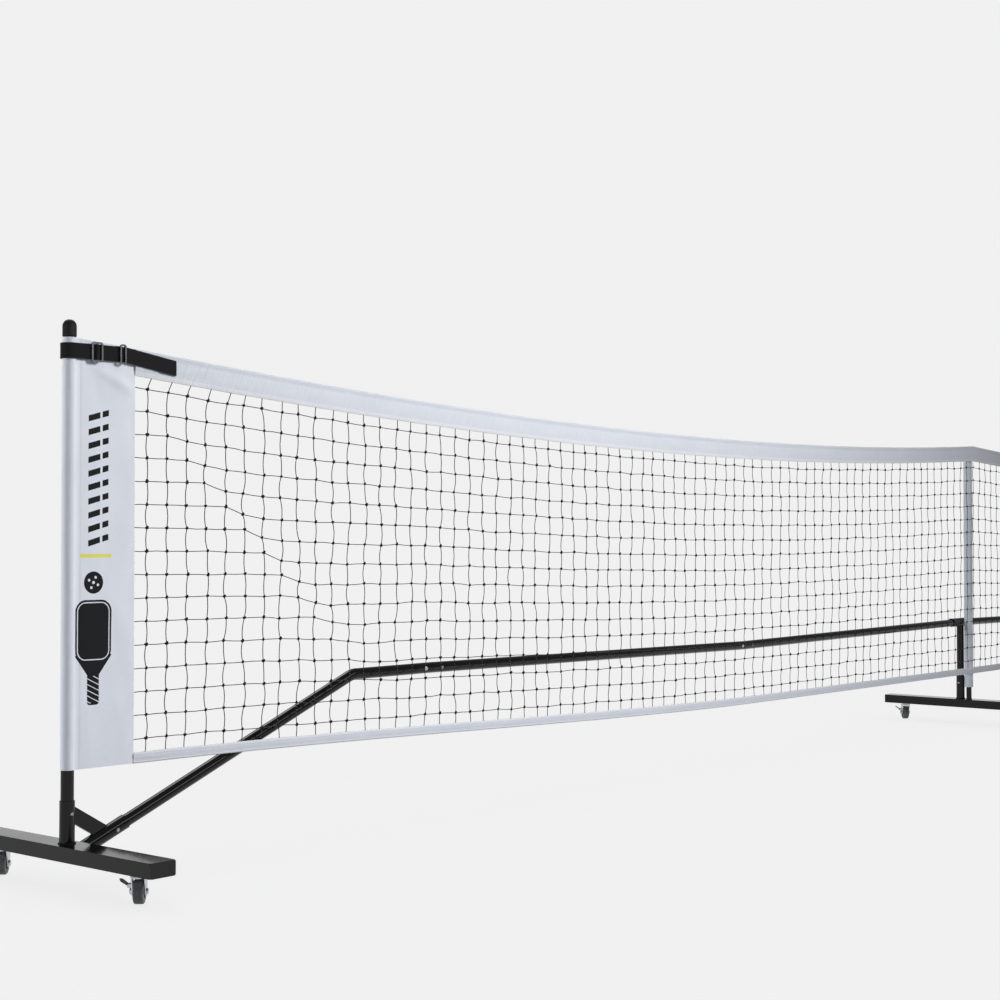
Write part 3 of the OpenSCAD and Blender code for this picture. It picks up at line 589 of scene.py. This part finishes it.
headband, headband_flat = band("headband_cloth", net_top, 1, HEADBAND_H, TOP_CORD_R, HEAD_SEAM,
                               swell=0.0016, station=0.011, finish=head_cloth)
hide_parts("headband")
lowband, lowband_flat = band("bottom_band_cloth", net_low, -1, LOWBAND_H, LOW_CORD_R, LOW_SEAM,
                             swell=0.0007, station=0.012, finish=low_cloth)
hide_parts("bottom_band")

# ---------- side panels ----------

SLEEVE_R = POST_R + 0.00075
SEAM_U = 0.0150  # where the two layers part to go round the post
HEM_U = PANEL_W - 0.0004
FRONT_SEAM_Y, BACK_SEAM_Y = -0.0101, -0.0089
FRONT_HEM_Y, BACK_HEM_Y = -0.01665, -0.01555
FLAT_STEPS = 16
TURN_FROM, TURN_BY, TURN_STEP = -52, 340, 10  # degrees of the sleeve round the post
HEM_STITCH = 0.0035


def panel_outline():
    """Plan of a side panel from its front hem round the post to its back hem: (u, y, share)."""
    steps = [k / FLAT_STEPS for k in range(FLAT_STEPS + 1)]
    points = [(mix(HEM_U, SEAM_U, t), mix(FRONT_HEM_Y, FRONT_SEAM_Y, t), 1 - t) for t in steps]
    for angle in range(TURN_FROM, TURN_FROM - TURN_BY, -TURN_STEP):
        a = math.radians(angle)
        points.append((SLEEVE_R * math.cos(a), SLEEVE_R * math.sin(a), 0))
    points += [(mix(SEAM_U, HEM_U, t), mix(BACK_SEAM_Y, BACK_HEM_Y, t), t) for t in steps]
    return points


PANEL = panel_outline()
PANEL_RUN = length_along([(p[0], p[1]) for p in PANEL])
PANEL_ROWS = 110
BROAD_PULL, FINE_PULL, HEM_WAVE, SLEEVE_WAVE = 0.0022, 0.0007, 0.0006, 0.00025
DENT_Z, DENT_U, DENT_SLOPE = 0.857, 0.06, 0.42  # line of the fold below the strap
DENT_H, DENT_DEPTH = 0.009, 0.0048
# pale=1.1 paints the panels' cloth lighter than the bands and sleeve of the same fabric: painted light,
# for the stronger light on the panels
panel_cloth = woven(
    "panel_cloth", (HEM_STITCH, PANEL_W - SEAM_U - 0.001, PANEL_RUN[-1] - HEM_STITCH),
    hems=((0, 0.006),), printed=True, pale=1.1)


def side_panel(side, name):
    """The cloth panel beside a post, its sleeve drawn round the post."""
    seed = 5.0 * side

    def height_at(u, share):
        u = max(0.0, u)
        low, high = net_low(u) + 0.0004, net_top(u) - 0.0006
        return mix(low, high, share)

    def point(i, j):
        u, y, loose = PANEL[j]
        share = i / PANEL_ROWS
        z = height_at(u, share)
        flap = math.sin(math.pi * loose) ** 0.6 if 0 < loose < 1 else 0.0
        pull = ripple(u * 16 + z * 7, z * 3.1 - u * 9, seed) * BROAD_PULL
        pull += ripple(u * 42 + z * 12, z * 10, seed + 4) * FINE_PULL
        under_strap = math.exp(-((z - DENT_Z + (u - DENT_U) * DENT_SLOPE) / DENT_H) ** 2)
        pull -= DENT_DEPTH * under_strap * smooth(u, 0.02, 0.10)
        hem = HEM_WAVE * ripple(z * 110, seed, 1) * smooth(u, PANEL_W - 0.012, PANEL_W)
        if loose == 0:
            creep = SLEEVE_WAVE * ripple(u * 300, z * 22, seed + 8)
            scale = 1 + abs(creep) / SLEEVE_R
            return (side * (HALF - u * scale), y * scale, z)
        return (side * (HALF - u), y + pull * flap * 0.8 + hem, z)

    def uv(i, j):
        u = PANEL[j][0]
        return (height_at(u, i / PANEL_ROWS), PANEL_RUN[j])

    piece = cloth(PANEL_ROWS, len(PANEL) - 1, point, uv, FABRIC_T, turned_over=side < 0, angle=60)
    node = name + "_side_panel"
    hand_over(piece, node + "_cloth", "white_fabric", panel_cloth, node)


for side, name in ((-1, "left"), (1, "right")):
    side_panel(side, name)

# ---------- centre sleeve ----------

sleeve_cloth = woven("centre_sleeve_cloth", (0.004, 0.0815))
CENTRE_SLEEVE_R, SLEEVE_FLAT_W = 0.0129, 0.0855
SLEEVE_WRAP = 376  # degrees, so that its edges lap
SLEEVE_ROWS, SLEEVE_TURN = 120, 28
SLEEVE_FOLD = SLEEVE_LAP = 0.0009


def sleeve_point(i, j):
    z = mix(SLEEVE_FOOT, NET_TOP_MID - 0.0045, i / SLEEVE_ROWS)
    a = math.radians(90 + SLEEVE_WRAP * j / SLEEVE_TURN)
    fold = ripple(math.cos(a) * 1.4 + z * 9, math.sin(a) * 1.4, z * 16)
    lap = SLEEVE_LAP if j > SLEEVE_TURN * 0.94 else 0
    r = CENTRE_SLEEVE_R + SLEEVE_FOLD * (fold - 0.6) + lap
    return (CENTRE_POST.x + r * math.cos(a), CENTRE_POST.y + r * math.sin(a), z)


def sleeve_uv(i, j):
    return (mix(SLEEVE_FOOT, NET_TOP_MID, i / SLEEVE_ROWS), SLEEVE_FLAT_W * j / SLEEVE_TURN)


sleeve = cloth(SLEEVE_ROWS, SLEEVE_TURN, sleeve_point, sleeve_uv, FABRIC_T, turned_over=True)
hand_over(sleeve, "centre_sleeve_cloth", "white_fabric", sleeve_cloth, "centre_sleeve")

# ---------- netting ----------

PITCH = 0.040  # from knot to knot down a column
CORD = 0.044  # cord from knot to knot, and the square's length along the net
TWINE_R, KNOT_R = 0.0008, 0.0031
ROWS = 16
FIRST_GAP = 0.6  # share of a square between the panel and the first column
SWAY, DRIFT, STAGGER = 0.0052, 0.004, 0.0016  # how far knots stand from an even net
MOST_BOW = 0.0032
BILLOW = 0.0016
COLUMNS = round((HALF - PANEL_W) / CORD)
COLUMN_PITCH = (HALF - PANEL_W) / (COLUMNS + FIRST_GAP)
MESHES_DOWN = (net_top(PANEL_W) - HEADBAND_H - net_low(PANEL_W) - LOWBAND_H) / PITCH
dice = random.Random(41)


def column_u(k):
    return PANEL_W + (FIRST_GAP + k) * COLUMN_PITCH


def row_z(j, u):
    """Height of a knot: rows hang from the headband or stand level with the panel, and
    further along the slack is shared out between them."""
    top, low = net_top(u) - HEADBAND_H, net_low(u) + LOWBAND_H
    k = (u - PANEL_W) / COLUMN_PITCH
    hung = top - (0.5 + j) * PITCH
    level = low + (MESHES_DOWN - 0.5 - j) * PITCH
    stepped = mix(hung, level, smooth(j - 0.95 * k + 0.6))
    even = top - (top - low) * (0.5 + j) / MESHES_DOWN
    return mix(stepped, even, smooth(k, 5, 17))


def knot_places(side):
    """Knots of one half of the net, by column and row."""
    places = []
    for k in range(COLUMNS + 1):
        u = column_u(k)
        sway = 0.0
        rows = []
        for j in range(ROWS):
            calm = smooth(k, -1, 4) * (0 if k == COLUMNS else 1)
            sway = mix(sway, dice.uniform(-1, 1), 0.72)
            du = (sway * SWAY + ripple(k * 0.21, j * 0.3, 7 * side) * DRIFT) * calm
            dz = dice.uniform(-STAGGER, STAGGER) * calm
            rows.append((u + du, row_z(j, u + du) + dz))
        places.append(rows)
    return places


def bowed(start, end, rest, lean, steps=4):
    """Points from one knot up to the next, bowed sideways by the cord's spare length."""
    gap = math.dist(start, end)
    spare = max(0.0, rest / gap - 1)
    bow = min(MOST_BOW, gap * math.sqrt(0.375 * spare) * 0.36 + 0.0004) * lean
    across = (-(end[1] - start[1]) / gap, (end[0] - start[0]) / gap)
    line = []
    for n in range(steps):
        t = n / steps
        push = bow * math.sin(math.pi * t)
        line.append((mix(start[0], end[0], t) + across[0] * push,
                     mix(start[1], end[1], t) + across[1] * push))
    return line


def cords_of(side):
    """Knots of one half, and the centre lines of its cords: (u, z) down columns, then along rows."""
    knots = knot_places(side)
    lines = []
    for k, rows in enumerate(knots):
        if k == COLUMNS and side > 0:
            continue
        u = rows[0][0]
        slant = 0.010 * (1 - smooth(k, 2, 9))
        top = (u + slant + dice.uniform(-0.003, 0.003), net_top(u + slant) - HEADBAND_H + 0.004)
        low_u = rows[-1][0]
        low = (low_u + dice.uniform(-0.003, 0.003), net_low(low_u) + LOWBAND_H - 0.003)
        stops = [top] + rows + [low]
        line = []
        lean = dice.choice((-1, 1))
        for n, (a, b) in enumerate(zip(stops, stops[1:])):
            lean *= -1 if dice.random() < 0.62 else 1
            strength = lean * dice.uniform(0.35, 1.1)
            rest = CORD if 0 < n < len(stops) - 2 else math.dist(a, b) * 1.012
            line += bowed(a, b, rest, strength)
        lines.append(line + [low])
    for j in range(ROWS):
        start = (PANEL_W - 0.004, row_z(j, PANEL_W) + dice.uniform(-0.001, 0.001))
        stops = [start] + [knots[k][j] for k in range(COLUMNS + 1)]
        line = []
        for a, b in zip(stops, stops[1:]):
            line += bowed(a, b, math.dist(a, b) * 1.0016, dice.uniform(-1, 1), steps=2)
        lines.append(line + [stops[-1]])
    return knots, lines


def twine_tubes(lines, side, y_wave):
    """Tubes of twine along the given lines."""
    curve = bpy.data.curves.new("twine", "CURVE")
    curve.dimensions = "3D"
    curve.bevel_depth = TWINE_R
    curve.bevel_resolution = 1
    curve.use_fill_caps = True
    for line in lines:
        spline = curve.splines.new("POLY")
        spline.points.add(len(line) - 1)
        flat = []
        for u, z in line:
            flat += [side * (HALF - u), net_y(u) + y_wave(u, z), z, 1]
        spline.points.foreach_set("co", flat)
    piece = bpy.data.objects.new("twine", curve)
    bpy.context.scene.collection.objects.link(piece)
    only(piece)
    bpy.ops.object.convert(target="MESH")
    return bpy.context.object


def knot_lump():
    """One knot: two short fat loops drawn tight across each other. Its points and faces."""
    bpy.ops.object.select_all(action="DESELECT")
    bpy.ops.mesh.primitive_ico_sphere_add(subdivisions=1, radius=KNOT_R)
    lump = bpy.context.object
    bpy.ops.object.mode_set(mode="EDIT")
    bpy.ops.transform.resize(value=(1.25, 0.75, 0.82))
    bpy.ops.mesh.duplicate()
    bpy.ops.transform.rotate(value=math.radians(70), orient_axis="Y", center_override=(0, 0, 0))
    bpy.ops.transform.translate(value=(0.0004, -0.0004, 0.0005))
    bpy.ops.object.mode_set(mode="OBJECT")
    points = np.array([v.co for v in lump.data.vertices])
    faces = np.array([f.vertices for f in lump.data.polygons])
    bpy.data.objects.remove(lump)
    return points, faces


LUMP_POINTS, LUMP_FACES = knot_lump()


def knots_mesh(knots, side, y_wave):
    """All knots of one half, each a copy of the lump, turned and sized a little differently."""
    points, faces = [], []
    for k, rows in enumerate(knots):
        if k == COLUMNS and side > 0:
            continue
        for u, z in rows:
            a = dice.uniform(-0.6, 0.6)
            turn = np.array([[math.cos(a), 0, math.sin(a)], [0, 1, 0], [-math.sin(a), 0, math.cos(a)]])
            size = dice.uniform(0.9, 1.15)
            place = np.array([side * (HALF - u), net_y(u) + y_wave(u, z), z])
            faces.append(LUMP_FACES + len(points) * len(LUMP_POINTS))
            points.append(LUMP_POINTS @ turn.T * size + place)
    mesh = bpy.data.meshes.new("knots")
    mesh.from_pydata(np.vstack(points).tolist(), [], np.vstack(faces).tolist())
    piece = bpy.data.objects.new("knots", mesh)
    bpy.context.scene.collection.objects.link(piece)
    return piece


for side, name in ((-1, "left"), (1, "right")):
    def y_wave(u, z, side=side):
        top, low = net_top(u), net_low(u)
        slack = math.sin(math.pi * min(1, max(0, (z - low) / (top - low))))
        return BILLOW * slack * ripple(u * 3.1, z * 4.2, 11 * side)

    knots, lines = cords_of(side)
    tubes = twine_tubes(lines, side, y_wave)
    lumps = knots_mesh(knots, side, y_wave)
    tubes.data.materials.append(black_twine)
    lumps.data.materials.append(black_knot)
    only(tubes)
    lumps.select_set(True)
    bpy.ops.object.join()
    bpy.ops.object.shade_smooth()
    hand_over(tubes, name + "_netting_twine", "black_netting", None, "netting")

# ---------- tension straps ----------

STRAP_Z = 0.891
STRAP_T = 0.0016
STRAP_ROUND = POST_R + 0.0024  # inside of the strap round the post
TURN_R = STRAP_ROUND + STRAP_T / 2
RING_U, GLIDE_U = 0.092, 0.042
STRAP_END_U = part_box("left_tension_strap")[1].x + HALF
STRAP_BACK_END = (0.060, -0.0113)
STRAP_DROP = (NET_TOP_SIDE - NET_TOP_MID + 4 * TOP_SAG) / HALF
TAIL_DROOP = 0.055
STRAP_RING_Y = -0.0209
PAST_RING_SLOPE = 0.0092
BACK_SHARES = (0, 0.25, 0.5, 0.75)
TURN_STEPS = 22
FINE_STEP, LONG_STEP = 0.0012, 0.004
GLIDE_REACH, OVER_GLIDE = 0.014, 0.0041  # the webbing lifts over the slide's bar


def strap_front_y(u):
    """Middle of the webbing in front: rising from the post to the ring, then beside the headband."""
    if u < RING_U:
        return mix(-TURN_R, STRAP_RING_Y, max(0.0, u) / RING_U)
    return STRAP_RING_Y - (u - RING_U) * PAST_RING_SLOPE


def strap_line():
    """Plan of the strap from its back end round the post to its front end."""
    end_u, end_y = STRAP_BACK_END
    leave = math.atan2(end_y, end_u) + math.acos(TURN_R / math.hypot(end_u, end_y))
    touch_u, touch_y = TURN_R * math.cos(leave), TURN_R * math.sin(leave)
    points = [(mix(end_u, touch_u, t), mix(end_y, touch_y, t)) for t in BACK_SHARES]
    sweep = math.radians(270) - leave
    for k in range(TURN_STEPS + 1):
        a = leave + sweep * k / TURN_STEPS
        points.append((TURN_R * math.cos(a), TURN_R * math.sin(a)))
    u = 0.004
    while u < STRAP_END_U - 0.001:
        y = strap_front_y(u)
        over = math.exp(-((u - GLIDE_U) / 0.0040) ** 4)
        points.append((u, y - OVER_GLIDE * over))
        u += FINE_STEP if abs(u - GLIDE_U) < GLIDE_REACH else LONG_STEP
    points.append((STRAP_END_U - 0.0008, strap_front_y(STRAP_END_U)))
    return points


def strap_height(u, share, front):
    """Height of a point of the webbing: its front runs down with the headband past the ring."""
    past_ring = max(0.0, u - RING_U) if front else 0.0
    drop = past_ring * STRAP_DROP + max(0.0, past_ring - 0.010) * TAIL_DROOP
    return STRAP_Z - drop + (share - 0.5) * STRAP_W


def webbing_piece(line, side, name, node, lift=0.0, first_front=0):
    """Webbing along a plan line, level until the point where its front begins."""
    run = length_along(line)
    across = 6

    def point(i, j):
        u, y = line[i]
        share = j / across
        front = i >= first_front
        sag = 0.0006 * ripple(run[i] * 30, share * 1.3, 3 * side)
        curl = -0.0005 * (2 * share - 1) ** 2
        return (side * (HALF - u), y - lift + sag * 0.5 - curl, strap_height(u, share, front))

    def uv(i, j):
        return (run[i], STRAP_W * j / across)

    piece = cloth(len(line) - 1, across, point, uv, STRAP_T, turned_over=side > 0, angle=40)
    only(piece)
    rim = piece.modifiers.new("rim", "BEVEL")
    rim.width = 0.0003
    rim.segments = 1
    rim.angle_limit = math.radians(50)
    bpy.ops.object.modifier_apply(modifier="rim")
    hand_over(piece, name, "black_webbing", black_webbing, node)


strap = strap_line()
tail = [(u, strap_front_y(u)) for u in np.linspace(RING_U + 0.0085, STRAP_END_U - 0.002, 30)]
for side, name in ((-1, "left"), (1, "right")):
    node = name + "_tension_strap"
    webbing_piece(strap, side, node + "_webbing", node,
                  first_front=len(BACK_SHARES) + TURN_STEPS + 1)
    webbing_piece(tail, side, node + "_tail", node, lift=STRAP_T + 0.0001)

# ---------- weld beads ----------


WELD_BEADS = 24


def weld_ring(name, centre, radius, bead=0.0017):
    """A rippled weld bead round the foot of a socket."""
    bpy.ops.object.select_all(action="DESELECT")
    bpy.ops.mesh.primitive_torus_add(major_segments=72, minor_segments=8, major_radius=radius,
                                     minor_radius=bead, location=(0, 0, 0))
    ring = bpy.context.object
    for v in ring.data.vertices:
        a = math.atan2(v.co.y, v.co.x)
        uneven = 0.25 * ripple(math.cos(a) * 3, math.sin(a) * 3, radius * 90)
        grow = 1 + 0.16 * math.sin(a * WELD_BEADS) + uneven
        flat = Vector((math.cos(a) * radius, math.sin(a) * radius, 0))
        v.co = flat + (v.co - flat) * grow + Vector(centre)
    bpy.ops.object.shade_smooth()
    hand_over(ring, name, "black_steel", black_steel)


for x, name in ((-HALF, "left"), (0, "centre"), (HALF, "right")):
    weld_ring(name + "_post_weld", (x, 0, BASE_TOP + 0.0004), SOCKET_R + 0.0004)
weld_ring("centre_peg_weld", (CENTRE_POST.x, CENTRE_POST.y, BASE_TOP + 0.0003), 0.0085, bead=0.0011)

# ---------- floor and light ----------

FLOOR_GLOW, FLOOR_TONE, FLOOR_R = 0.76, 0.50, 150
SKY_LIGHT, BACKDROP = 0.24, 0.875
# Name, place, aim, watts, width and height, spread, and whether it lights and shines.
LAMPS = (
    ("key", (-0.9, -3.4, 2.3), (-2.95, 0, 0.5), 48, (1.1, 1.1), 100, True, False),
    ("glint", (-2.0, -2.6, 1.9), (-2.4, 0, 0.4), 14, (3.2, 0.35), 160, False, True),
    ("rim", (-6.8, 2.4, 1.8), (-3.2, 0, 0.5), 34, (1.4, 1.4), 90, True, False),
    ("top", (-1.6, 2.2, 3.6), (-1.4, 0, 0.3), 45, (2.0, 2.0), 170, True, True),
    ("strip", (6.0, 7.5, 1.5), (-1.66, 1.07, 1.5), 70, (12.0, 3.0), 180, False, True),
)


def studio():
    """A plain pale floor that runs out to a plain pale background, and soft light."""
    bpy.ops.object.select_all(action="DESELECT")
    bpy.ops.mesh.primitive_circle_add(vertices=96, radius=FLOOR_R, fill_type="NGON", location=(0, 0, 0))
    floor = bpy.context.object
    floor.name = "floor"
    paper = Finish("pale_paper", Roughness=0.9, Specular_IOR_Level=0.0,
                   Base_Color=(FLOOR_TONE, FLOOR_TONE, FLOOR_TONE, 1),
                   Emission_Color=(1, 1, 0.995, 1), Emission_Strength=FLOOR_GLOW)
    floor.data.materials.append(paper.material)
    floor.visible_diffuse = False

    world = bpy.data.worlds.new("studio")
    bpy.context.scene.world = world
    world.use_nodes = True
    nodes, links = world.node_tree.nodes, world.node_tree.links
    glow = nodes["Background"]
    glow.inputs["Color"].default_value = (0.96, 0.975, 1.0, 1)
    glow.inputs["Strength"].default_value = SKY_LIGHT
    seen = nodes.new("ShaderNodeBackground")
    seen.inputs["Color"].default_value = (1, 1, 1, 1)
    seen.inputs["Strength"].default_value = BACKDROP
    path, pick = nodes.new("ShaderNodeLightPath"), nodes.new("ShaderNodeMixShader")
    links.new(path.outputs["Is Camera Ray"], pick.inputs[0])
    links.new(glow.outputs[0], pick.inputs[1])
    links.new(seen.outputs[0], pick.inputs[2])
    links.new(pick.outputs[0], nodes["World Output"].inputs["Surface"])

    not_floor = bpy.data.collections.new("lit_by_lamps")
    not_floor.objects.link(floor)
    not_floor.collection_objects[0].light_linking.link_state = "EXCLUDE"
    for name, place, aim, power, size, spread, lights, shines in LAMPS:
        light = bpy.data.lights.new(name, "AREA")
        light.shape = "RECTANGLE"
        light.energy = power
        light.size, light.size_y = size
        light.spread = math.radians(spread)
        lamp = bpy.data.objects.new(name, light)
        bpy.context.scene.collection.objects.link(lamp)
        lamp.location = place
        lamp.rotation_euler = (Vector(aim) - Vector(place)).to_track_quat("-Z", "Y").to_euler()
        lamp.light_linking.receiver_collection = not_floor
        lamp.visible_camera = False
        lamp.visible_diffuse, lamp.visible_glossy = lights, shines


studio()
bpy.context.scene.view_settings.view_transform = "Standard"
